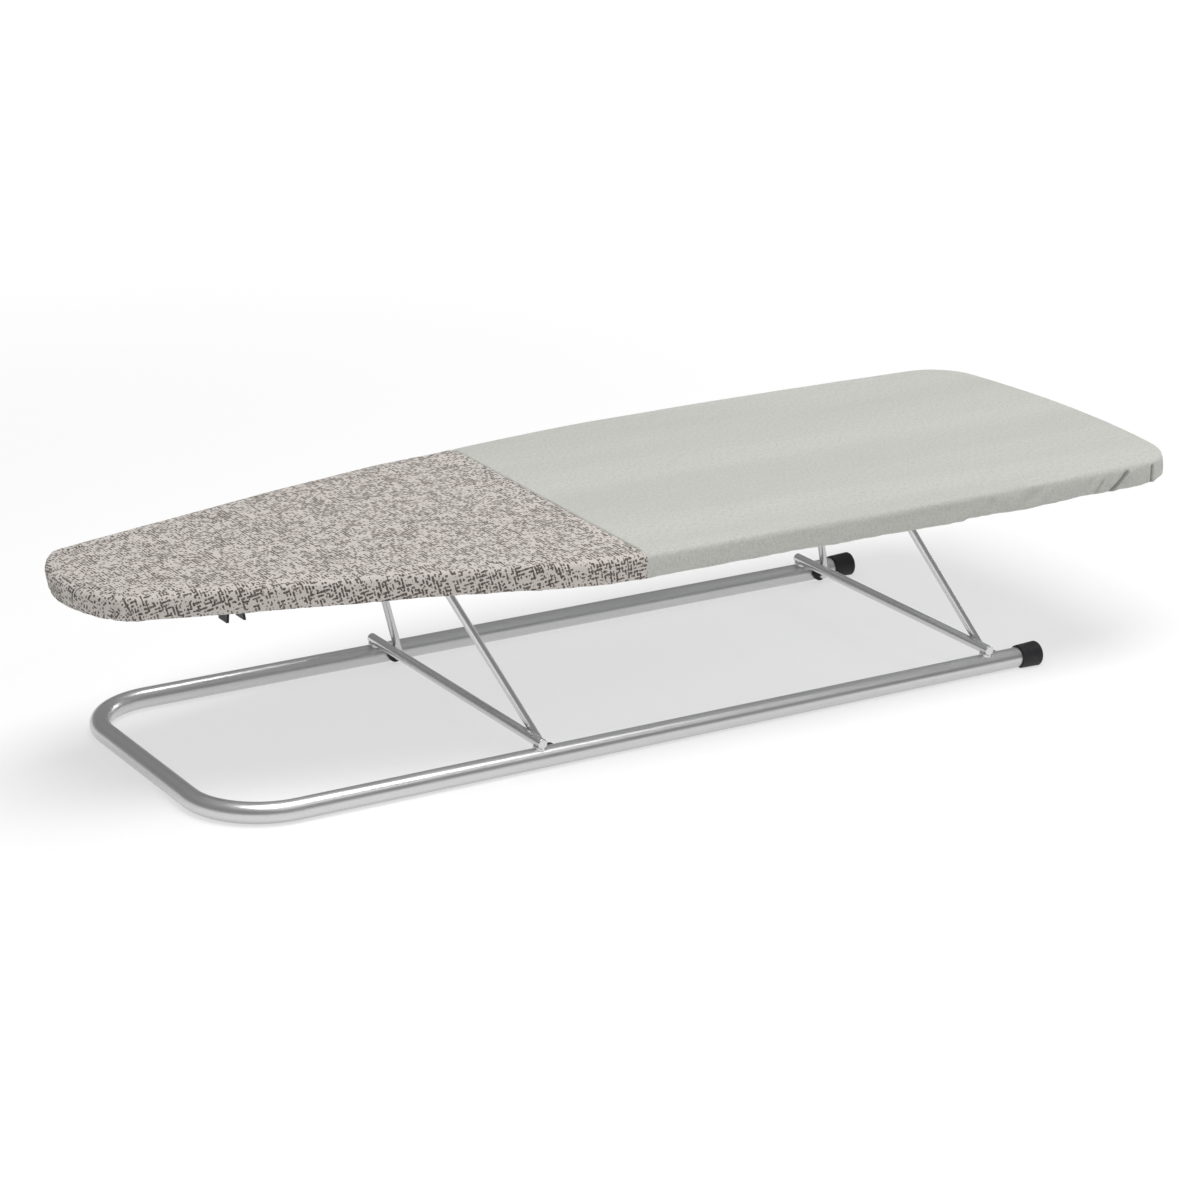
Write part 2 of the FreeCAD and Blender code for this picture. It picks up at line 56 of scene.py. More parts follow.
# ------------------------------------------------------------------ board outline (metres)
# The same arcs as the CAD outline: nose, nose corner, straight taper, shoulder, side, tail
# corner, tail.
PANEL_LOW, PANEL_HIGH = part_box("cover_nose_panel")
TAIL_LOW, TAIL_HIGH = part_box("cover_tail_panel")
NOSE_TIP_X = PANEL_LOW.x
TAIL_END_X = TAIL_HIGH.x
HALF_WIDTH = TAIL_HIGH.y
TOP_Z = TAIL_HIGH.z
HEM_Z = TAIL_LOW.z
SEAM_X = PANEL_HIGH.x
NOSE_RADIUS = 0.086
NOSE_CORNER_RADIUS = 0.025
TAPER_POINT = (NOSE_TIP_X + 0.051, 0.0653)
TAPER_SLOPE = 0.2613
SIDE_RADIUS = 3.1
SIDE_WIDEST_X = 0.184
SHOULDER_RADIUS = 0.3
TAIL_RADIUS = 0.65
TAIL_CORNER_RADIUS = 0.041


def unit(vector):
    """Vector of length one."""
    return vector / np.linalg.norm(vector)


def outline_arcs():
    """Upper half of the outline, nose to tail: centre, radius, first and last direction of each."""
    nose = np.array([NOSE_TIP_X + NOSE_RADIUS, 0.0])
    side = np.array([SIDE_WIDEST_X, HALF_WIDTH - SIDE_RADIUS])
    tail = np.array([TAIL_END_X - TAIL_RADIUS, 0.0])
    along = unit(np.array([1.0, TAPER_SLOPE]))
    out = np.array([-along[1], along[0]])

    def on_taper(centre, reach, radius, sign):
        """Centre of a corner arc that touches the taper, at a reach from another arc's centre."""
        start = np.array(TAPER_POINT) - out * radius
        offset = start - centre
        run = offset @ along
        root = math.sqrt(run ** 2 - offset @ offset + reach ** 2)
        return start + along * (sign * root - run)

    gap = tail - side
    reach_side = SIDE_RADIUS - TAIL_CORNER_RADIUS
    reach_tail = TAIL_RADIUS - TAIL_CORNER_RADIUS
    distance = np.linalg.norm(gap)
    run = (distance ** 2 + reach_side ** 2 - reach_tail ** 2) / (2 * distance)
    rise = math.sqrt(reach_side ** 2 - run ** 2)
    ahead = gap / distance
    across = np.array([-ahead[1], ahead[0]])
    corners = [side + ahead * run + across * (sign * rise) for sign in (-1, 1)]
    tail_corner = max(corners, key=lambda point: point[0])
    nose_corner = on_taper(nose, NOSE_RADIUS - NOSE_CORNER_RADIUS, NOSE_CORNER_RADIUS, -1)
    shoulder = on_taper(side, SIDE_RADIUS - SHOULDER_RADIUS, SHOULDER_RADIUS, 1)
    nose_side = unit(nose_corner - nose)
    shoulder_side = unit(shoulder - side)
    tail_side = unit(tail_corner - side)
    tail_end = unit(tail_corner - tail)
    return [
        (nose, NOSE_RADIUS, np.array([-1.0, 0.0]), nose_side),
        (nose_corner, NOSE_CORNER_RADIUS, nose_side, out),
        (shoulder, SHOULDER_RADIUS, out, shoulder_side),
        (side, SIDE_RADIUS, shoulder_side, tail_side),
        (tail_corner, TAIL_CORNER_RADIUS, tail_side, tail_end),
        (tail, TAIL_RADIUS, tail_end, np.array([1.0, 0.0])),
    ]


def outline_samples(step):
    """Points and outward normals round the whole outline, about a step apart, from the nose tip."""
    points, normals = [], []

    def add_run(start, end, normal):
        """Points along a straight run between two arcs."""
        count = max(2, int(round(np.linalg.norm(end - start) / step)))
        for t in np.arange(count) / count:
            points.append(start + (end - start) * t)
            normals.append(unit(normal))

    last_end = None
    for centre, radius, first, last in outline_arcs():
        a0 = math.atan2(first[1], first[0])
        a1 = math.atan2(last[1], last[0])
        if a0 < 0:
            a0 += 2 * math.pi
        if a1 < 0:
            a1 += 2 * math.pi
        if last_end is not None:
            start = centre + radius * first
            if np.linalg.norm(start - last_end) > 1e-6:
                add_run(last_end, start, first)
        count = max(2, int(round(abs(a1 - a0) * radius / step)))
        for angle in a0 + (a1 - a0) * np.arange(count) / count:
            direction = np.array([math.cos(angle), math.sin(angle)])
            points.append(centre + radius * direction)
            normals.append(direction)
        last_end = centre + radius * last
    points.append(last_end)
    normals.append(np.array([1.0, 0.0]))
    upper = np.array(points)
    upper_normals = np.array(normals)
    flip = np.array([1.0, -1.0])
    lower = upper[-2:0:-1] * flip
    lower_normals = upper_normals[-2:0:-1] * flip
    return np.vstack([upper, lower]), np.vstack([upper_normals, lower_normals])


def round_ring(ring):
    """Distance round a closed ring to each of its points, in millimetres."""
    steps = np.linalg.norm(np.diff(ring, axis=0, append=ring[:1]), axis=1)
    return np.concatenate([[0], np.cumsum(steps)[:-1]]) / MM


# ------------------------------------------------------------------ smooth noise for shapes
def noise_1d(x, seed, octaves=3):
    """Smooth random curve, about -1 to 1, with a feature every unit of x."""
    rng = np.random.default_rng(seed)
    total = np.zeros_like(x)
    for octave in range(octaves):
        values = rng.uniform(-1, 1, 4096)
        position = x * 2 ** octave
        cell = np.floor(position).astype(int)
        t = position - cell
        t = t * t * (3 - 2 * t)
        total += (values[cell % 4096] * (1 - t) + values[(cell + 1) % 4096] * t) * 0.55 ** octave
    return total / 1.6


def noise_2d(x, y, seed):
    """Smooth random surface, about -1 to 1, with a feature every unit."""
    rng = np.random.default_rng(seed)
    values = rng.uniform(-1, 1, (256, 256))
    cx, cy = np.floor(x).astype(int), np.floor(y).astype(int)
    tx, ty = x - cx, y - cy
    tx, ty = tx * tx * (3 - 2 * tx), ty * ty * (3 - 2 * ty)
    low = values[cx % 256, cy % 256] * (1 - tx) + values[(cx + 1) % 256, cy % 256] * tx
    high = values[cx % 256, (cy + 1) % 256] * (1 - tx) + values[(cx + 1) % 256, (cy + 1) % 256] * tx
    return low * (1 - ty) + high * ty


# ------------------------------------------------------------------ materials
def new_material(name):
    """New material, its node tree and its shader."""
    material = bpy.data.materials.new(name)
    material.use_nodes = True
    tree = material.node_tree
    shader = tree.nodes["Principled BSDF"]
    return material, tree, shader


def node(tree, kind, **settings):
    """One shader node; settings name its inputs or attributes."""
    made = tree.nodes.new("ShaderNode" + kind)
    for key, value in settings.items():
        if key in made.inputs:
            made.inputs[key].default_value = value
        else:
            setattr(made, key, value)
    return made


def link(tree, source, target):
    """Connect an output to an input."""
    tree.links.new(source, target)


def feed(tree, value, socket):
    """Give a socket a number, a colour or the output of another node."""
    if isinstance(value, (tuple, float, int)):
        socket.default_value = value
    else:
        link(tree, value, socket)


def scaled_position(tree, source, scale):
    """Coordinates multiplied by a scale, one number or one for each axis."""
    mapping = node(tree, "Mapping")
    mapping.inputs["Scale"].default_value = scale if isinstance(scale, tuple) else (scale,) * 3
    link(tree, source, mapping.inputs["Vector"])
    return mapping.outputs["Vector"]


def noise(tree, vector, scale, detail, roughness=0.5):
    """Noise value of a place, with a feature every 1 / scale."""
    made = node(tree, "TexNoise", Scale=1.0, Detail=detail, Roughness=roughness)
    link(tree, scaled_position(tree, vector, scale), made.inputs["Vector"])
    return made.outputs["Fac"]


def between(tree, value, low, high, to_low=0.0, to_high=1.0):
    """Smooth step of a value from one range to another."""
    made = node(tree, "MapRange", interpolation_type="SMOOTHSTEP")
    ends = {"From Min": low, "From Max": high, "To Min": to_low, "To Max": to_high}
    for key, number in ends.items():
        made.inputs[key].default_value = number
    link(tree, value, made.inputs["Value"])
    return made.outputs["Result"]


def math_node(tree, operation, first, second):
    """Math of two sockets or numbers."""
    made = node(tree, "Math", operation=operation)
    for index, value in enumerate((first, second)):
        feed(tree, value, made.inputs[index])
    return made.outputs["Value"]


def mix_colour(tree, factor, first, second):
    """Mix two colours, each a socket or a colour."""
    made = node(tree, "Mix", data_type="RGBA")
    in_use = {socket.name: socket for socket in made.inputs if socket.enabled}
    for key, value in (("Factor", factor), ("A", first), ("B", second)):
        feed(tree, value, in_use[key])
    return [socket for socket in made.outputs if socket.enabled][0]


def bump(tree, height, distance, strength=1.0, after=None):
    """Bump normal from a height; distance in metres."""
    made = node(tree, "Bump", Strength=strength, Distance=distance)
    link(tree, height, made.inputs["Height"])
    if after is not None:
        link(tree, after, made.inputs["Normal"])
    return made.outputs["Normal"]


def srgb(red, green, blue):
    """Linear colour of 8-bit display values."""
    def linear(value):
        """One channel."""
        value /= 255.0
        return value / 12.92 if value <= 0.04045 else ((value + 0.055) / 1.055) ** 2.4
    return (linear(red), linear(green), linear(blue), 1.0)


def shown(red, green, blue):
    """Base colour that shows as an 8-bit display colour where the studio light is full."""
    return tuple(value / STUDIO_LEVEL for value in srgb(red, green, blue)[:3]) + (1.0,)


def dimmed(colour, share):
    """A colour with only a share of its brightness."""
    return tuple(value * share for value in colour[:3]) + (1.0,)


def object_position(tree):
    """Position in the object's own axes, in metres."""
    return node(tree, "TexCoord").outputs["Object"]


def steel(name, colour, roughness, grain):
    """Satin steel: fine drawn grain, cloudy gloss, faint rub marks and a few small scratches."""
    material, tree, shader = new_material(name)
    place = object_position(tree)
    fine = noise(tree, place, grain, 3.0)
    cloud = noise(tree, place, 21.0, 3.0, 0.6)
    rub = noise(tree, place, (70.0, 260.0, 260.0), 4.0, 0.7)
    scratch = noise(tree, place, tuple(axis * 0.5 for axis in grain), 5.0, 0.75)
    cloudy = between(tree, cloud, 0.3, 0.7, roughness - 0.025, roughness + 0.025)
    drawn = between(tree, fine, 0.35, 0.65, -0.015, 0.025)
    link(tree, math_node(tree, "ADD", cloudy, drawn), shader.inputs["Roughness"])
    dark, worn = dimmed(colour, 0.82), dimmed(colour, 0.60)
    tone = mix_colour(tree, between(tree, rub, 0.50, 0.75, 0.0, 0.2), colour, dark)
    tone = mix_colour(tree, between(tree, fine, 0.35, 0.65, 0.0, 0.12), tone, dark)
    link(tree, mix_colour(tree, between(tree, scratch, 0.74, 0.80, 0.0, 0.3), tone, worn),
         shader.inputs["Base Color"])
    shader.inputs["Metallic"].default_value = 1.0
    link(tree, bump(tree, fine, 0.000008), shader.inputs["Normal"])
    return material


def moulded(name, colour, roughness, grain_size=0.0009, depth=0.00006):
    """Moulded rubber or plastic with a fine eroded grain and scuffs."""
    material, tree, shader = new_material(name)
    place = object_position(tree)
    grain = noise(tree, place, 1.0 / grain_size, 3.0)
    scuff = noise(tree, place, 210.0, 6.0, 0.7)
    light = tuple(min(1.0, c * 1.9 + 0.012) for c in colour[:3]) + (1.0,)
    link(tree, mix_colour(tree, between(tree, scuff, 0.52, 0.78), colour, light),
         shader.inputs["Base Color"])
    link(tree, between(tree, scuff, 0.3, 0.8, roughness - 0.08, roughness + 0.12),
         shader.inputs["Roughness"])
    link(tree, bump(tree, grain, depth), shader.inputs["Normal"])
    shader.inputs["Specular IOR Level"].default_value = 0.28
    return material


def painted(name, colour):
    """Satin sprayed paint over sheet steel, with orange peel and small chips of darker metal."""
    material, tree, shader = new_material(name)
    place = object_position(tree)
    peel = noise(tree, place, 900.0, 2.0)
    cloud = noise(tree, place, 30.0, 4.0)
    chips = noise(tree, place, 260.0, 8.0, 0.75)
    shade = dimmed(colour, 0.84)
    tone = mix_colour(tree, between(tree, cloud, 0.35, 0.7), colour, shade)
    link(tree, mix_colour(tree, between(tree, chips, 0.70, 0.74), tone, (0.16, 0.15, 0.14, 1.0)),
         shader.inputs["Base Color"])
    link(tree, between(tree, cloud, 0.3, 0.7, 0.36, 0.5), shader.inputs["Roughness"])
    shader.inputs["Metallic"].default_value = 0.35
    link(tree, bump(tree, peel, 0.00005), shader.inputs["Normal"])
    return material


def cut_position(tree):
    """Place on the flat cut of the cloth, in millimetres, stored with the mesh."""
    return node(tree, "Attribute", attribute_name="cut").outputs["Vector"]


def adrift(tree, cut, scale, detail):
    """X and Y of the place on the cut, moved by slow noise so that threads wander a little."""
    drift = node(tree, "TexNoise", Scale=1.0, Detail=detail)
    link(tree, scaled_position(tree, cut, scale), drift.inputs["Vector"])
    moved = node(tree, "VectorMath", operation="MULTIPLY_ADD")
    link(tree, drift.outputs["Color"], moved.inputs[0])
    moved.inputs[1].default_value = (THREAD_DRIFT, THREAD_DRIFT, 0.0)
    link(tree, cut, moved.inputs[2])
    split = node(tree, "SeparateXYZ")
    link(tree, moved.outputs["Vector"], split.inputs["Vector"])
    return split.outputs["X"], split.outputs["Y"]


def weave_height(tree, cut, pitch):
    """Plain weave: warp and weft waves that cross over, slightly uneven."""
    turn = 2 * math.pi / pitch
    warp, weft = (math_node(tree, "SINE", math_node(tree, "MULTIPLY", value, turn), 0.0)
                  for value in adrift(tree, cut, 0.15, 1.0))
    return math_node(tree, "MULTIPLY", warp, weft)


def painted_tuck_shade(tree, colour):
    """Painted shade: darker colour down in the tucks of the skirt, where their grooves lie in
    shade.
    """
    depth = node(tree, "Attribute", attribute_name="fold_shade").outputs["Fac"]
    # painted shade: the fold attribute mixes in this dark colour where the tucks' grooves lie
    return mix_colour(tree, between(tree, depth, 0.25, 1.0, 0.0, 0.62), colour, shown(70, 68, 62))


def cloth_shader(shader, sheen):
    """Sockets that every cotton has in common."""
    shader.inputs["Specular IOR Level"].default_value = 0.25
    shader.inputs["Sheen Weight"].default_value = sheen
    shader.inputs["Sheen Roughness"].default_value = 0.55


def combine(tree, x, y, z):
    """Vector of sockets or numbers."""
    made = node(tree, "CombineXYZ")
    for key, value in (("X", x), ("Y", y), ("Z", z)):
        feed(tree, value, made.inputs[key])
    return made.outputs["Vector"]


def thread_dashes(tree, along, across, patch, pitch, length, seed):
    """Printed dashes that follow single threads: broken along, a row for each pitch across (mm)."""
    rows = math_node(tree, "DIVIDE", across, pitch)
    row = math_node(tree, "FLOOR", rows, 0.0)
    in_row = math_node(tree, "SUBTRACT", rows, row)
    from_middle = math_node(tree, "ABSOLUTE", math_node(tree, "SUBTRACT", in_row, 0.5), 0.0)
    own_line = math_node(tree, "MULTIPLY", row, 7.37)
    place = combine(tree, math_node(tree, "DIVIDE", along, length), own_line, seed)
    broken = noise(tree, place, 1.0, 1.5, 0.55)
    level = math_node(tree, "ADD", broken, patch)
    width = between(tree, level, 0.50, 0.66, 0.16, 0.34)
    inked = between(tree, math_node(tree, "SUBTRACT", width, from_middle), -0.06, 0.06)
    return math_node(tree, "MULTIPLY", inked, between(tree, level, 0.50, 0.54))


def printed_cotton():
    """Pinkish grey cotton printed with broken dark threads, which run both ways in patches."""
    material, tree, shader = new_material("printed_cotton")
    cut = cut_position(tree)
    x, y = adrift(tree, cut, (0.05, 0.05, 1.0), 2.0)
    patch_along = noise(tree, cut, (0.045, 0.12, 1.0), 1.0, 0.6)
    patch_across = noise(tree, cut, (0.13, 0.055, 4.0), 1.0, 0.6)
    dense_along = between(tree, patch_along, 0.36, 0.62, -0.060, 0.045)
    dense_across = between(tree, patch_across, 0.36, 0.62, -0.050, 0.040)
    along = thread_dashes(tree, x, y, dense_along, pitch=2.4, length=2.7, seed=3.1)
    across = thread_dashes(tree, y, x, dense_across, pitch=2.1, length=2.9, seed=8.4)
    fibre = noise(tree, cut, (2.2, 2.2, 1.0), 3.0)
    worn = noise(tree, cut, (1.1, 1.1, 1.0), 2.0)
    warm = noise(tree, cut, (0.018, 0.030, 1.0), 2.0)
    fibrous = between(tree, fibre, 0.3, 0.7)
    base = mix_colour(tree, fibrous, shown(228, 221, 215), shown(197, 189, 183))
    base = mix_colour(tree, between(tree, warm, 0.4, 0.65, 0.0, 0.5), base, shown(212, 207, 200))
    ink = mix_colour(tree, fibrous, shown(66, 58, 53), shown(102, 93, 87))
    mask = math_node(tree, "MULTIPLY", math_node(tree, "MAXIMUM", along, across),
                     between(tree, worn, 0.30, 0.52, 0.55, 1.0))
    # painted shade darkens the colour in the tucks' grooves
    link(tree, painted_tuck_shade(tree, mix_colour(tree, mask, base, ink)), shader.inputs["Base Color"])
    link(tree, between(tree, fibre, 0.2, 0.8, 0.78, 0.95), shader.inputs["Roughness"])
    cloth_shader(shader, 0.15)
    weave = weave_height(tree, cut, 0.9)
    slub = noise(tree, cut, (0.5, 0.5, 1.0), 4.0)
    threads = bump(tree, weave, 0.00012, 0.6)
    link(tree, bump(tree, slub, 0.0003, 0.6, threads), shader.inputs["Normal"])
    return material


def plain_cotton():
    """Pale sage coated cotton with faint broad bands along the board."""
    material, tree, shader = new_material("plain_cotton")
    cut = cut_position(tree)
    fibre = noise(tree, cut, (0.8, 0.7, 1.0), 3.0)
    fleck = noise(tree, cut, (0.50, 0.26, 1.0), 5.0, 0.75)
    bands = noise(tree, cut, (0.0016, 0.014, 1.0), 2.0, 0.5)
    cloud = noise(tree, cut, (0.035, 0.08, 1.0), 4.0, 0.65)
    tone = mix_colour(tree, between(tree, bands, 0.36, 0.64),
                      shown(205, 205, 200), shown(193, 194, 188))
    tone = mix_colour(tree, between(tree, cloud, 0.40, 0.70, 0.0, 0.5), tone, shown(198, 199, 192))
    tone = mix_colour(tree, between(tree, fleck, 0.42, 0.66, 0.0, 0.75), tone, shown(180, 180, 172))
    tone = mix_colour(tree, between(tree, fibre, 0.42, 0.70, 0.0, 0.4), tone, shown(222, 222, 217))
    # painted shade darkens the colour in the tucks' grooves
    link(tree, painted_tuck_shade(tree, tone), shader.inputs["Base Color"])
    link(tree, between(tree, fibre, 0.2, 0.8, 0.72, 0.9), shader.inputs["Roughness"])
    cloth_shader(shader, 0.12)
    weave = weave_height(tree, cut, 0.7)
    threads = bump(tree, weave, 0.00010, 0.5)
    link(tree, bump(tree, fleck, 0.00035, 0.5, threads), shader.inputs["Normal"])
    return material


def felt_material():
    """Needled felt: matted fibres with darker and lighter flecks."""
    material, tree, shader = new_material("felt")
    place = object_position(tree)
    mat = noise(tree, place, 1500.0, 6.0, 0.7)
    fleck = noise(tree, place, (260.0, 700.0, 300.0), 4.0, 0.7)
    tone = mix_colour(tree, between(tree, mat, 0.3, 0.7), srgb(216, 211, 200), srgb(190, 184, 172))
    link(tree, mix_colour(tree, between(tree, fleck, 0.6, 0.72), tone, srgb(150, 146, 140)),
         shader.inputs["Base Color"])
    link(tree, between(tree, mat, 0.2, 0.8, 0.85, 0.97), shader.inputs["Roughness"])
    cloth_shader(shader, 0.3)
    link(tree, bump(tree, mat, 0.0004, 0.7), shader.inputs["Normal"])
    return material


def thread_material(name, colour):
    """Twisted or braided yarn, with painted shade in the grooves between its twists."""
    material, tree, shader = new_material(name)
    place = object_position(tree)
    yarn = node(tree, "TexWave", Scale=1.0, Distortion=2.0, Detail=2.0)
    link(tree, scaled_position(tree, place, 1300.0), yarn.inputs["Vector"])
    fuzz = noise(tree, place, 2200.0, 3.0)
    # painted shade: the yarn's grooves are mixed to a darker copy of its colour
    groove = between(tree, yarn.outputs["Fac"], 0.2, 0.8, 0.6, 0.0)
    link(tree, mix_colour(tree, groove, colour, dimmed(colour, 0.6)), shader.inputs["Base Color"])
    link(tree, between(tree, fuzz, 0.2, 0.8, 0.7, 0.9), shader.inputs["Roughness"])
    cloth_shader(shader, 0.2)
    link(tree, bump(tree, yarn.outputs["Fac"], 0.00015), shader.inputs["Normal"])
    return material


def paint_frame():
    """Give every CAD node that stays its own finish."""
    tube = steel("tube_steel", (0.64, 0.64, 0.64, 1.0), 0.31, (11.0, 1300.0, 1300.0))
    rods = steel("rod_steel", (0.66, 0.66, 0.66, 1.0), 0.24, (1500.0, 50.0, 1500.0))
    wires = steel("wire_steel", (0.70, 0.70, 0.70, 1.0), 0.23, (1200.0, 1200.0, 200.0))
    straps = steel("saddle_steel", (0.55, 0.55, 0.55, 1.0), 0.34, (600.0, 600.0, 600.0))
    rivets = steel("rivet_aluminium", (0.74, 0.74, 0.75, 1.0), 0.32, (700.0, 700.0, 700.0))
    sheet = painted("sheet_paint", (0.60, 0.61, 0.62, 1.0))
    rubber = moulded("black_rubber", (0.022, 0.022, 0.024, 1.0), 0.55)
    plastic = moulded("black_plastic", (0.016, 0.016, 0.017, 1.0), 0.42, 0.0006, 0.00004)
    by_slot = {
        "tube_steel": tube, "rod_steel": rods, "wire_steel": wires, "saddle_steel": straps,
        "rivet_aluminium": rivets, "sheet_paint": sheet, "black_rubber": rubber,
        "black_plastic": plastic,
    }
    for entry in frame["record"]["subparts"]:
        material = by_slot.get(entry["material_slot"])
        if material is None:
            continue
        for place in NODES[entry["node"]].material_slots:
            place.material = material


# ------------------------------------------------------------------ cover
COLUMN_STEP = 0.002
TOP_STEP = 0.0045
EDGE_RADIUS = 0.0052
TOP_RING_INSET = 0.016
HEM_FOLD = 0.0016                        # radius of the fold at the foot of the skirt
HEM_REACH = 0.0139                       # how far the hem goes in under the board from there
CLOTH = 0.0005
ELASTIC_INSET = 0.0171
ELASTIC_Z = HEM_Z + 0.0006
CASING_RADIUS = 0.0014
CORD_RADIUS = 0.00075
CORD_SIDES = 8
STITCH_RADIUS = 0.00016
STITCH_SIDES = 6
# the thread of one stitch: share of its length, and how far it dips (mm)
STITCH_PATH = ((0.0, -0.05), (0.25, 0.24), (0.5, 0.32), (0.75, 0.24), (1.0, -0.05))
SEAM_NEAR = (SEAM_X - 0.0112, -0.138)     # the seam runs a little askew across the board
SEAM_FAR = (SEAM_X - 0.0055, 0.138)
SIM_SCALE = 10.0                         # the cloth is settled ten times life size
SIM_FRAMES = 26
SIM_GAP = 0.004                          # thickness that cloth and board keep between them, scaled
SETTLE_LIMIT = 0.006                     # how far a point of the cloth may settle
SETTLE_WINDOW = 7                        # columns that its settling is averaged over
CLOTH_SETTINGS = {
    "quality": 6, "mass": 0.25, "tension_stiffness": 25.0, "compression_stiffness": 25.0,
    "shear_stiffness": 8.0, "bending_stiffness": 0.12, "tension_damping": 12.0,
    "compression_damping": 12.0, "shear_damping": 12.0, "air_damping": 3.0, "pin_stiffness": 1.0,
}
# section of the padded board that the cloth settles on, as inset from the outline and height
BOARD_SECTION = (
    (0.040, 0.1405), (0.0042, 0.1405), (0.0022, 0.1398), (0.0014, 0.1380),
    (0.0012, 0.1320), (0.0012, 0.1270), (0.0020, 0.1264), (0.040, 0.1264),
)
# section of the felt pad, as inset from its outline and share of its depth
PAD_SECTION = (
    (0.012, 0.0), (0.0004, 0.0), (0.0, 0.12), (0.0, 0.42), (0.0005, 0.7), (0.0016, 0.92),
    (0.004, 1.0), (0.012, 1.0),
)
PAD_STEP = 0.004                         # between points round the pad and the settling board
# tucks in the skirt: where one starts round the edge (mm), its lean (mm), its top and bottom as
# shares of the skirt, its width (mm), and how far its ridge stands out and its groove goes in
TUCKS = (
    (1108.0, 1.5, 0.15, 1.1, 1.6, 0.0007, 0.0020), (1126.0, 21.0, 0.15, 1.05, 2.4, 0.0019, 0.0014),
    (1146.0, 16.0, 0.30, 1.1, 2.2, 0.0011, 0.0007), (1093.0, -9.0, 0.30, 1.1, 2.4, 0.0006, 0.0005),
    (808.0, -14.0, 0.20, 1.1, 2.2, 0.0011, 0.0008), (826.0, 3.0, 0.35, 1.1, 1.5, 0.0006, 0.0013),
    (783.0, -18.0, 0.35, 1.1, 2.4, 0.0006, 0.0004), (1858.0, 7.0, 0.25, 1.1, 2.2, 0.0007, 0.0005),
    (1836.0, 12.0, 0.40, 1.1, 2.4, 0.0005, 0.0004), (62.0, -8.0, 0.25, 1.1, 2.2, 0.0007, 0.0006),
    (84.0, -11.0, 0.40, 1.1, 2.4, 0.0005, 0.0004),
)
# stretches of the edge that are finely puckered: middle and spread (mm)
PUCKERED = ((1150.0, 95.0), (1240.0, 60.0), (790.0, 80.0), (1850.0, 45.0), (70.0, 45.0))
PUCKER_DEPTH = 0.00105
GROOVE_BESIDE = 1.3                      # a tuck's groove lies this many widths beside its ridge
NOSE_LEAN = (0.0007, 0.0028)             # the skirt stands out at the nose's top, and in at its hem
HEM_WAVES = ((0.00035, 9.0, 33), (0.00025, 26.0, 34))    # height, length (mm) and seed
HEM_STEP = (1272.0, 1330.0)              # stretch of the edge where the hem hangs lower (mm)
HEM_STEP_DEPTH = 0.0009
SEAM_ROWS = (-0.0045, -0.003, -0.0018, -0.0009, 0.0, 0.0009, 0.0018, 0.003, 0.0045)


def seam_line():
    """Near end of the seam line, and its directions along and across, which is towards the tail."""
    start = np.array(SEAM_NEAR)
    along = unit(np.array(SEAM_FAR) - start)
    return start, along, np.array([along[1], -along[0]])


def seam_distance(x, y):
    """Signed distance from the seam line, positive towards the tail."""
    start, along, _ = seam_line()
    return (x - start[0]) * along[1] - (y - start[1]) * along[0]


def cover_profile():
    """Profile from the top ring round the edge to the casing: inset and height, with its length."""
    points = [(inset, TOP_Z) for inset in (TOP_RING_INSET, 0.0135, 0.0112, 0.0090, 0.0070)]
    for angle in np.radians(np.arange(90, -1, -15)):
        points.append((EDGE_RADIUS * (1 - math.cos(angle)),
                       TOP_Z - EDGE_RADIUS * (1 - math.sin(angle))))
    skirt_top = TOP_Z - EDGE_RADIUS
    skirt_low = HEM_Z + HEM_FOLD
    for t in np.linspace(0, 1, 7)[1:]:
        points.append((0.0, skirt_top + (skirt_low - skirt_top) * t))
    for angle in np.radians((30, 60, 90)):
        points.append((HEM_FOLD * (1 - math.cos(angle)), skirt_low - HEM_FOLD * math.sin(angle)))
    for inset in np.linspace(HEM_FOLD, HEM_FOLD + HEM_REACH, 8)[1:]:
        points.append((inset, HEM_Z))
    held_from = len(points) - 1
    for angle in np.radians(np.arange(-50, 221, 30)):
        points.append((ELASTIC_INSET + CASING_RADIUS * math.sin(angle),
                       ELASTIC_Z - CASING_RADIUS * math.cos(angle)))
    profile = np.array(points)
    steps = np.linalg.norm(np.diff(profile, axis=0), axis=1)
    return profile, np.concatenate([[0.0], np.cumsum(steps)]), held_from


def cover_sag(x):
    """The pad and cover lie a little lower about the seam, where the two cloths meet."""
    distance = np.abs(x - SEAM_X + 0.029)
    return 0.0008 - 0.0030 * np.clip(1 - distance / 0.14, 0, 1) ** 1.3


def smooth_round(values, width):
    """Running average round a closed ring, over an odd number of its points."""
    window = np.hanning(width)
    half = width // 2
    closed = np.concatenate([values[-half:], values, values[:half]])
    return np.convolve(closed, window / window.sum(), "valid")


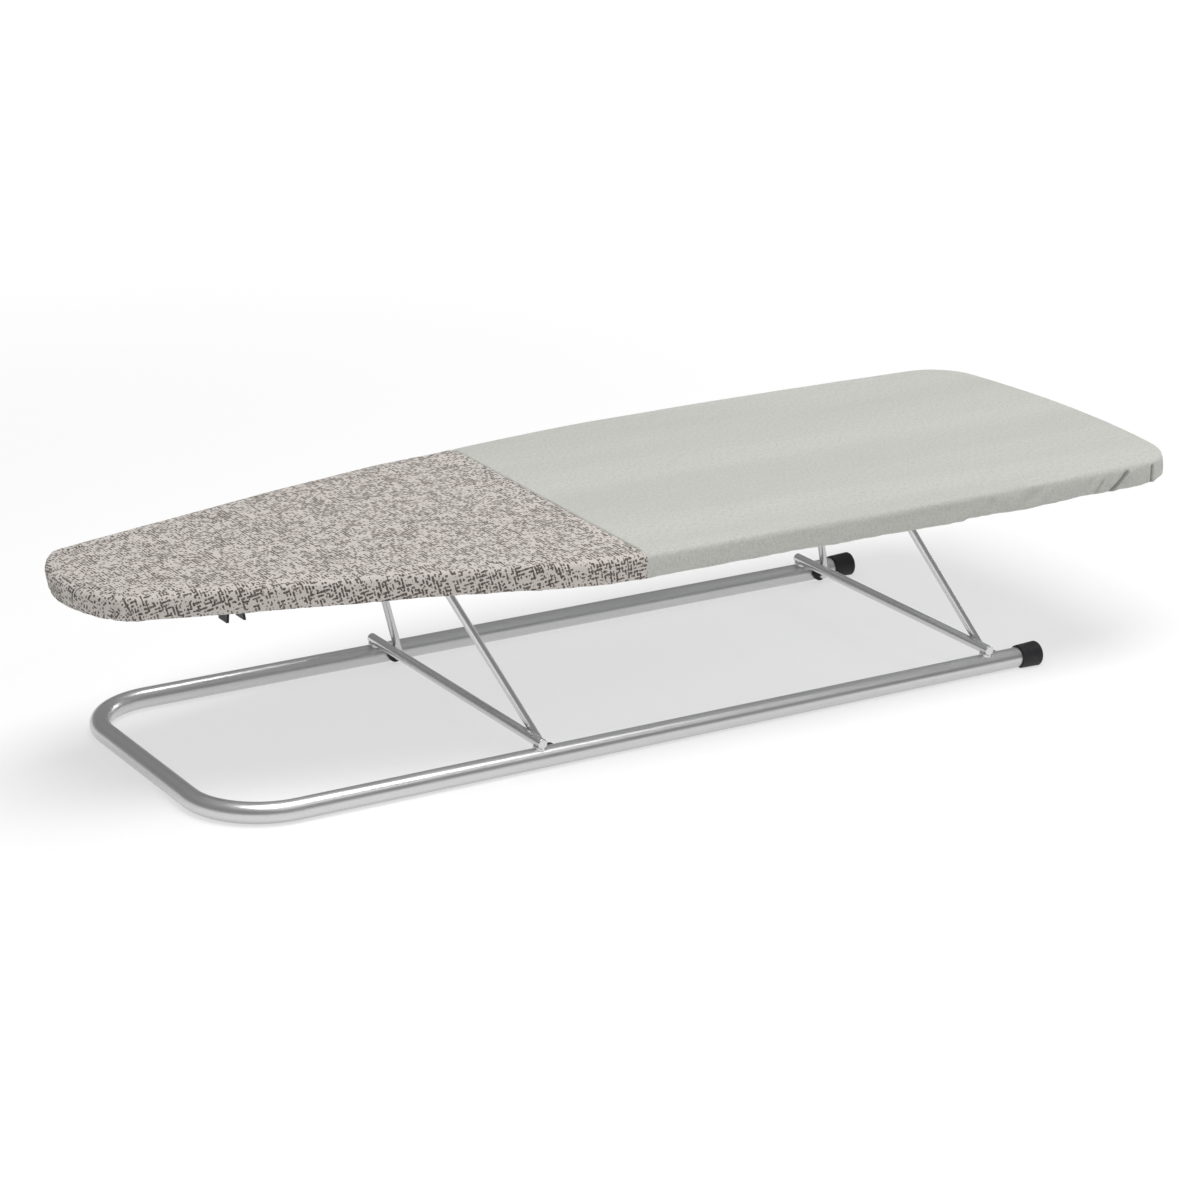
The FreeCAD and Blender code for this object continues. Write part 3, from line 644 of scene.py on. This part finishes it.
def cover_shapes():
    """The cover drawn over the board as it starts, and the larger cut that it is gathered from."""
    ring, outward = outline_samples(COLUMN_STEP)
    profile, lengths, held_from = cover_profile()
    along = round_ring(ring)
    turn = np.linalg.norm(np.roll(outward, -1, axis=0) - np.roll(outward, 1, axis=0), axis=1)
    corner = smooth_round(np.clip(turn / (2 * COLUMN_STEP) / 22.0, 0, 1), 31)
    start, rest, cuts = [], [], []
    for row, ((inset, z), length) in enumerate(zip(profile, lengths)):
        base = np.column_stack([ring - outward * inset, np.full(len(ring), z)])
        down = min(1.0, max(0.0, (TOP_Z - z) / (TOP_Z - HEM_Z)))
        below = z < HEM_Z + 0.004 and row > 8
        under = min(1.0, max(0.0, (inset - HEM_FOLD) / HEM_REACH)) if below else 0.0
        slant = down * 3.0 + under * 4.0
        gathers = noise_1d((along + slant) / 7.0, 21, 2)
        broad = noise_1d((along - slant) / 31.0, 22, 2)
        strength = 0.45 + 0.55 * corner
        push = (0.0011 * gathers + 0.0008 * broad) * strength * down ** 1.2 * (1 - under)
        ruck = 0.0010 * noise_1d(along / 5.2, 23, 2) * under * (0.5 + 0.5 * corner)
        begun = base.copy()
        begun[:, :2] += outward * push[:, None]
        begun[:, 2] += ruck * (0.4 if row > held_from else 1.0) - 0.0002 * under
        loose = base.copy()
        spare = (0.0080 * down + 0.0060 * under) * corner
        loose[:, :2] += outward * (spare + 3.0 * push)[:, None]
        loose[:, 2] += 2.2 * ruck + 0.0004 * down * noise_1d(along / 40.0, 24)
        start.append(begun)
        rest.append(loose)
        cuts.append(ring - outward * (TOP_RING_INSET - length))
    return ring, outward, np.array(start), np.array(rest), np.array(cuts), held_from


def ring_faces(rows, columns, first=0):
    """Quads between the rows of a closed ring."""
    faces = []
    for row in range(rows - 1):
        a = first + row * columns + np.arange(columns)
        b = first + row * columns + (np.arange(columns) + 1) % columns
        faces += np.column_stack([a, b, b + columns, a + columns]).tolist()
    return faces


def settle(start, rest, held_from):
    """Cloth simulation: the cut is drawn over the board's edge by the elastic and settles there."""
    scene = bpy.context.scene
    rows, columns = start.shape[:2]
    cloth = mesh_object("settling_cloth", (start * SIM_SCALE).reshape(-1, 3),
                        ring_faces(rows, columns))
    cloth.shape_key_add(name="Basis")
    cut = cloth.shape_key_add(name="cut")
    cut.data.foreach_set("co", (rest * SIM_SCALE).ravel())
    held = cloth.vertex_groups.new(name="held")
    pinned = [*range(2 * columns), *range(held_from * columns, rows * columns)]
    held.add(pinned, 1.0, "REPLACE")

    edge, out = outline_samples(PAD_STEP)
    body = [np.column_stack([edge - out * inset, np.full(len(edge), z)])
            for inset, z in BOARD_SECTION]
    board = mesh_object("settling_board", np.array(body).reshape(-1, 3) * SIM_SCALE,
                        ring_faces(len(BOARD_SECTION), len(edge)))
    collision = board.modifiers.new("Collision", "COLLISION")
    collision.settings.thickness_outer = SIM_GAP
    collision.settings.cloth_friction = 8.0

    modifier = cloth.modifiers.new("Cloth", "CLOTH")
    settings = modifier.settings
    for key, value in CLOTH_SETTINGS.items():
        setattr(settings, key, value)
    settings.vertex_group_mass = "held"
    settings.rest_shape_key = cut
    settings.effector_weights.gravity = 0.05
    modifier.collision_settings.distance_min = SIM_GAP
    modifier.collision_settings.collision_quality = 3
    modifier.point_cache.frame_start = 1
    modifier.point_cache.frame_end = SIM_FRAMES
    for number in range(1, SIM_FRAMES + 1):
        scene.frame_set(number)
    result = cloth.evaluated_get(bpy.context.evaluated_depsgraph_get())
    settled = np.empty(rows * columns * 3)
    result.data.vertices.foreach_get("co", settled)
    settled = settled.reshape(rows, columns, 3) / SIM_SCALE
    for made in (cloth, board):
        bpy.data.objects.remove(made)
    scene.frame_set(1)
    moved = settled - start
    size = np.linalg.norm(moved, axis=2, keepdims=True)
    moved = moved * np.minimum(1.0, SETTLE_LIMIT / np.maximum(size, 1e-9))
    averaged = [[smooth_round(row[:, axis], SETTLE_WINDOW) for axis in range(3)] for row in moved]
    return start + np.array(averaged).transpose(0, 2, 1)


def press_in(shape, ring, outward):
    """Tucks, puckers and lean of the skirt, with how deep each point lies in a tuck, kept as
    painted shade for the cloth's colour.
    """
    along = round_ring(ring)
    down = np.clip((TOP_Z - shape[:, :, 2]) / (TOP_Z - HEM_Z), 0, 1)
    inset = ((ring - shape[:, :, :2]) * outward).sum(axis=2)
    on_skirt = np.clip(1 - (inset - 0.0030) / 0.0040, 0, 1) * np.clip(down / 0.25, 0, 1)
    push, fold_shade = np.zeros(down.shape), np.zeros(down.shape)
    for start, lean, top, bottom, width, ridge, groove in TUCKS:
        across = (along[None, :] - start - lean * down) / width
        reach = np.clip((down - top) / 0.15, 0, 1) * np.clip((bottom - down) / 0.12, 0, 1)
        beside = across - GROOVE_BESIDE
        push += reach * (ridge * np.exp(-across ** 2) - groove * np.exp(-beside ** 2))
        # painted shade: how much each tuck's groove darkens the cloth's colour
        fold_shade += reach * groove / MM * np.exp(-(beside / 0.8) ** 2)
    for centre, spread in PUCKERED:
        near = np.exp(-((along - centre) / spread) ** 2)[None, :]
        fine = noise_2d((along[None, :] - 9.0 * down) / 6.5 + centre, down * 1.7 + 3.0, 31)
        push += PUCKER_DEPTH * near * fine * np.clip((down - 0.15) / 0.3, 0, 1)
    nose = np.clip((NOSE_TIP_X + 0.075 - ring[:, 0]) / 0.06, 0, 1)
    push += nose[None, :] * (NOSE_LEAN[0] - NOSE_LEAN[1] * down ** 1.6)
    shape[:, :, :2] += outward[None, :, :] * (push * on_skirt)[:, :, None]
    wave = sum(height * noise_1d(along / length, seed, 2) for height, length, seed in HEM_WAVES)
    step = np.clip((along - HEM_STEP[0]) / 3.0, 0, 1) * np.clip((HEM_STEP[1] - along) / 55.0, 0, 1)
    lower = np.clip((down - 0.5) / 0.5, 0, 1) * on_skirt
    shape[:, :, 2] += (wave - HEM_STEP_DEPTH * step)[None, :] * lower
    return shape, np.clip(fold_shade * on_skirt, 0, 1)


def build_cover():
    """Wrapped cover: vertices, faces, place on the flat cut with the painted fold shade, elastic's
    line and outward normals.
    """
    ring, outward, start, rest, cuts, held_from = cover_shapes()
    drawn_over = settle(start, rest, held_from)
    shape, fold_shade = press_in(drawn_over, ring, outward)
    rows, columns = shape.shape[:2]
    height = np.clip((shape[:, :, 2] - HEM_Z) / 0.016, 0, 1)
    shape[:, :, 2] += top_waves(ring[:, 0], ring[:, 1]) * height
    vertices = shape.reshape(-1, 3)
    flat = cuts.reshape(-1, 2)
    top_points, top_faces = fill_top(ring - outward * TOP_RING_INSET)
    inner = top_points[columns:]
    offset = len(vertices) - columns
    heights = TOP_Z + top_waves(inner[:, 0], inner[:, 1])
    vertices = np.vstack([vertices, np.column_stack([inner, heights])])
    flat = np.vstack([flat, inner])
    fold_shade = np.concatenate([fold_shade.ravel(), np.zeros(len(inner))])
    faces = ring_faces(rows, columns)
    for face in top_faces:
        faces.append([index if index < columns else index + offset for index in face])
    distance = seam_distance(vertices[:, 0], vertices[:, 1])
    groove = (-0.0006 * np.exp(-(distance / 0.0010) ** 2)
              + 0.0003 * np.exp(-((distance + 0.003) / 0.0016) ** 2))
    vertices[:, 2] += groove * np.clip((vertices[:, 2] - 0.136) / 0.005, 0, 1)
    vertices[:, 2] += cover_sag(vertices[:, 0])
    line = shape[held_from + 1:].mean(axis=0)
    line[:, 2] += cover_sag(line[:, 0])
    return vertices, faces, np.column_stack([flat / MM, fold_shade]), line, outward


def top_waves(x, y):
    """Slight unevenness of the padded top."""
    broad = noise_2d(x / 0.06 + 31, y / 0.045 + 17, 5)
    small = noise_2d(x / 0.022 + 7, y / 0.016 + 3, 6)
    return 0.00022 * broad + 0.00010 * small


def fill_top(boundary):
    """Points and triangles inside the top ring, finer along the seam."""
    columns = len(boundary)
    xs = np.arange(NOSE_TIP_X, TAIL_END_X, TOP_STEP)
    points = []
    for index, x in enumerate(xs):
        shift = (index % 2) * TOP_STEP / 2
        for y in np.arange(-HALF_WIDTH, HALF_WIDTH, TOP_STEP) + shift:
            if abs(seam_distance(x, y)) > 0.006:
                points.append((x, y))
    start, along, across = seam_line()
    for offset in SEAM_ROWS:
        for t in np.arange(-0.01, 0.29, 0.0022):
            points.append(tuple(start + along * t + across * offset))
    inside = [p for p in points if is_inside(p, boundary)]
    verts = [Vector(p) for p in boundary] + [Vector(p) for p in inside]
    edges = [(i, (i + 1) % columns) for i in range(columns)]
    result = delaunay_2d_cdt(verts, edges, [], 1, 1e-7)
    coords, faces = result[0], result[2]
    return np.array([[v.x, v.y] for v in coords]), [list(face) for face in faces]


def is_inside(point, boundary):
    """Whether a point lies inside the ring and not close to it."""
    x, y = point
    bx, by = boundary[:, 0], boundary[:, 1]
    if np.min((bx - x) ** 2 + (by - y) ** 2) < 0.0016 ** 2:
        return False
    nx, ny = np.roll(bx, -1), np.roll(by, -1)
    crossing = ((by > y) != (ny > y)) & (x < (nx - bx) * (y - by) / (ny - by + 1e-15) + bx)
    return bool(np.count_nonzero(crossing) % 2)


def mesh_object(name, vertices, faces):
    """Object from arrays."""
    mesh = bpy.data.meshes.new(name)
    mesh.from_pydata([tuple(v) for v in vertices], [], faces)
    mesh.update()
    made = bpy.data.objects.new(name, mesh)
    bpy.context.scene.collection.objects.link(made)
    return made


def set_cut(mesh, cuts):
    """Store with each vertex its place on the flat cut (mm) and how deep in a fold it lies, as
    painted shade for the cloth's colour.
    """
    attribute = mesh.attributes.new("cut", "FLOAT_VECTOR", "POINT")
    flat = np.column_stack([cuts[:, :2], np.zeros(len(cuts))]).astype(np.float32)
    attribute.data.foreach_set("vector", flat.ravel())
    # painted shade of the tucks' grooves, read by the cloth materials
    depth = mesh.attributes.new("fold_shade", "FLOAT", "POINT")
    depth.data.foreach_set("value", cuts[:, 2].astype(np.float32))


def smooth(made):
    """Smooth shading all over."""
    made.data.polygons.foreach_set("use_smooth", [True] * len(made.data.polygons))
    made.data.update()


def split_cover(vertices, faces, cuts):
    """Nose and tail panels, cut apart along the seam line."""
    panels = []
    start, _, across = seam_line()
    for name, keep_tail in (("cover_nose", False), ("cover_tail", True)):
        made = mesh_object(name, vertices, faces)
        set_cut(made.data, cuts)
        work = bmesh.new()
        work.from_mesh(made.data)
        geometry = work.verts[:] + work.edges[:] + work.faces[:]
        bmesh.ops.bisect_plane(work, geom=geometry, dist=1e-6, plane_co=(*start, 0),
                               plane_no=(*across, 0), clear_inner=keep_tail,
                               clear_outer=not keep_tail)
        bmesh.ops.recalc_face_normals(work, faces=work.faces[:])
        work.to_mesh(made.data)
        work.free()
        smooth(made)
        panels.append(made)
    return panels


def flat_size(made):
    """Bounding size and area of a panel on the flat cut, in metres."""
    mesh = made.data
    values = np.empty(len(mesh.vertices) * 3)
    mesh.attributes["cut"].data.foreach_get("vector", values)
    place = values.reshape(-1, 3)[:, :2] * MM
    area = 0.0
    for face in mesh.polygons:
        x, y = place[list(face.vertices)].T
        area += abs(x @ np.roll(y, -1) - y @ np.roll(x, -1)) / 2
    length, width = place.max(axis=0) - place.min(axis=0)
    return (width, length), area


def thicken(made, thickness):
    """Give a cloth its thickness, inwards."""
    modifier = made.modifiers.new("cloth_thickness", "SOLIDIFY")
    modifier.thickness = thickness
    modifier.offset = -1.0


def elastic_cord(line, outward):
    """Braided elastic that runs inside the casing, with its fine ribs."""
    columns = len(line)
    vertices = []
    for index in range(columns):
        radius = CORD_RADIUS * (1 + 0.08 * math.cos(index * math.pi))
        out = outward[index]
        for side in range(CORD_SIDES):
            angle = 2 * math.pi * side / CORD_SIDES
            vertices.append((line[index][0] + out[0] * radius * math.cos(angle),
                             line[index][1] + out[1] * radius * math.cos(angle),
                             line[index][2] + radius * math.sin(angle)))
    faces = []
    for index in range(columns):
        here, after = index * CORD_SIDES, (index + 1) % columns * CORD_SIDES
        for side in range(CORD_SIDES):
            beside = (side + 1) % CORD_SIDES
            faces.append((here + side, after + side, after + beside, here + beside))
    made = mesh_object("hem_elastic_cord", vertices, faces)
    smooth(made)
    made.data.materials.append(thread_material("elastic", srgb(226, 224, 216)))
    return made


def hem_stitches(vertices, outward, columns, row):
    """Lockstitches that close the casing, one every few millimetres on the hem's underside."""
    points, faces = [], []
    ring = vertices[row * columns:(row + 1) * columns]
    for index in range(0, columns - 1, 2):
        start = Vector(ring[index])
        run = Vector(ring[(index + 1) % columns]) - start
        start = start + run * 0.1
        run = run * 1.2
        out = Vector((*outward[index], 0.0))
        first = len(points)
        for t, dip in STITCH_PATH:
            centre = start + run * t - Vector((0, 0, dip * MM))
            for side in range(STITCH_SIDES):
                angle = 2 * math.pi * side / STITCH_SIDES
                spoke = out * math.cos(angle) + Vector((0, 0, math.sin(angle)))
                points.append(centre + spoke * STITCH_RADIUS)
        faces += ring_faces(len(STITCH_PATH), STITCH_SIDES, first)
        last = len(points) - STITCH_SIDES
        faces.append([first + side for side in reversed(range(STITCH_SIDES))])
        faces.append([last + side for side in range(STITCH_SIDES)])
    made = mesh_object("hem_stitches", points, faces)
    smooth(made)
    made.data.materials.append(thread_material("stitch_thread", srgb(200, 196, 186)))
    return made


def make_pad():
    """Needled felt pad between the sheet and the cover, pressed thinner under the seam."""
    low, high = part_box("felt_pad")
    edge, out = outline_samples(PAD_STEP)
    inset = abs(edge[0][0] - low.x)
    depth = high.z - low.z

    def at_level(points, level):
        """Points at a share of the pad's depth."""
        return np.column_stack([points, np.full(len(points), low.z + depth * level)])

    columns = len(edge)
    vertices = np.vstack([at_level(edge - out * (inset + step), level)
                          for step, level in PAD_SECTION])
    faces = ring_faces(len(PAD_SECTION), columns)
    inner, inner_faces = fill_top(edge - out * (inset + PAD_SECTION[-1][0]))
    inner = inner[columns:]
    for level, base in ((1.0, (len(PAD_SECTION) - 1) * columns), (0.0, 0)):
        offset = len(vertices)
        vertices = np.vstack([vertices, at_level(inner, level)])
        for face in inner_faces:
            indices = [base + i if i < columns else i - columns + offset for i in face]
            faces.append(indices if level else indices[::-1])
    lump = 0.00016 * noise_2d(vertices[:, 0] / 0.011, vertices[:, 1] / 0.011, 9)
    share = (vertices[:, 2] - low.z) / depth
    vertices[:, 2] += share * (cover_sag(vertices[:, 0]) - 0.0009 + lump)
    pad = mesh_object("ironing_pad", vertices, faces)
    smooth(pad)
    pad.data.materials.append(felt_material())
    return pad


def make_cover():
    """The two panels, the elastic in their hem and its stitches, and the pad beneath."""
    vertices, faces, flat, line, outward = build_cover()
    columns = len(line)
    nose, tail = split_cover(vertices, faces, flat)
    nose.data.materials.append(printed_cotton())
    tail.data.materials.append(plain_cotton())
    cord = elastic_cord(line, outward)
    hem_row = cover_profile()[2] - 1
    stitches = hem_stitches(vertices, outward, columns, hem_row)
    pad = make_pad()
    for piece in (nose, tail, cord, stitches, pad):
        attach(piece, "board")
    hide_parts("cover_nose_panel")
    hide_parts("cover_tail_panel")
    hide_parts("hem_elastic")
    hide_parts("felt_pad")
    for panel in (nose, tail):
        size, area = flat_size(panel)
        thicken(panel, CLOTH)


# ------------------------------------------------------------------ camera, light, floor
FLOOR_HALF = 12


def make_camera():
    """Camera at the photograph's angle, fitted to the straight tubes, rods and legs."""
    azimuth, elevation, roll = (math.radians(a) for a in (-30.922, 18.851, 0.268))
    distance = 2.4966
    target = Vector((0.00874, 0.01842, 0.05367))
    level = math.cos(elevation)
    back = Vector((math.sin(azimuth) * level, -math.cos(azimuth) * level, math.sin(elevation)))
    right = Vector((math.cos(azimuth), math.sin(azimuth), 0.0))
    up = back.cross(right)
    turned_right = right * math.cos(roll) + up * math.sin(roll)
    turned_up = back.cross(turned_right)
    data = bpy.data.cameras.new("camera")
    data.lens = 109.0
    data.sensor_width = 36.0
    data.clip_end = 50.0
    camera = bpy.data.objects.new("camera", data)
    axes = Matrix((turned_right, turned_up, back)).transposed().to_4x4()
    camera.matrix_world = Matrix.Translation(target + back * distance) @ axes
    bpy.context.scene.collection.objects.link(camera)
    bpy.context.scene.camera = camera


def area_light(name, place, aim, size, power):
    """Soft rectangular light at a place, turned to a point."""
    data = bpy.data.lights.new(name, "AREA")
    data.shape = "RECTANGLE"
    data.size, data.size_y = size
    data.energy = power
    light = bpy.data.objects.new(name, data)
    light.location = place
    light.rotation_euler = (Vector(aim) - Vector(place)).to_track_quat("-Z", "Y").to_euler()
    bpy.context.scene.collection.objects.link(light)


def make_light():
    """Soft studio: grey overhead, pale horizon, a large key panel in front and one at the tail."""
    world = bpy.data.worlds.new("studio")
    bpy.context.scene.world = world
    world.use_nodes = True
    tree = world.node_tree
    direction = node(tree, "TexCoord").outputs["Generated"]
    split = node(tree, "SeparateXYZ")
    link(tree, direction, split.inputs["Vector"])
    ramp = node(tree, "ValToRGB")
    stops = ramp.color_ramp.elements
    stops[0].position, stops[0].color = 0.0, (0.50, 0.50, 0.50, 1.0)
    stops[1].position, stops[1].color = 1.0, (0.42, 0.42, 0.42, 1.0)
    for place, value in ((0.10, 0.30), (0.35, 0.27), (0.75, 0.38)):
        stop = stops.new(place)
        stop.color = (value, value, value, 1.0)
    link(tree, split.outputs["Z"], ramp.inputs["Fac"])
    link(tree, ramp.outputs["Color"], tree.nodes["Background"].inputs["Color"])
    tree.nodes["Background"].inputs["Strength"].default_value = 1.0
    area_light("key_panel", (0.1, -0.35, 2.1), (0, 0, 0.05), (2.0, 1.1), 38.0)
    area_light("strip_panel", (0.4, -1.45, 1.40), (0, 0, 0.05), (1.8, 0.22), 2.2)
    area_light("tail_panel", (2.2, 0.45, 0.8), (0.2, 0, 0.08), (0.6, 0.6), 6.5)


def make_floor():
    """Plain pale floor that can be seen through from below."""
    far = FLOOR_HALF
    floor = mesh_object("floor", [(-far, -far, 0), (far, -far, 0), (far, far, 0), (-far, far, 0)],
                        [(0, 1, 2, 3)])
    material, tree, shader = new_material("pale_floor")
    shader.inputs["Base Color"].default_value = (0.42, 0.42, 0.42, 1.0)
    shader.inputs["Emission Color"].default_value = (1.0, 1.0, 1.0, 1.0)
    reach = node(tree, "VectorMath", operation="LENGTH")
    link(tree, object_position(tree), reach.inputs[0])
    glow = between(tree, reach.outputs["Value"], 0.5, 2.4, 0.56, 0.90)
    link(tree, glow, shader.inputs["Emission Strength"])
    shader.inputs["Roughness"].default_value = 0.85
    shader.inputs["Specular IOR Level"].default_value = 0.1
    clear = node(tree, "BsdfTransparent")
    choose = node(tree, "MixShader")
    link(tree, node(tree, "NewGeometry").outputs["Backfacing"], choose.inputs["Fac"])
    link(tree, shader.outputs["BSDF"], choose.inputs[1])
    link(tree, clear.outputs["BSDF"], choose.inputs[2])
    link(tree, choose.outputs["Shader"], tree.nodes["Material Output"].inputs["Surface"])
    floor.data.materials.append(material)


make_camera()
make_light()
make_floor()
paint_frame()
make_cover()
bpy.context.scene.view_settings.view_transform = "Standard"
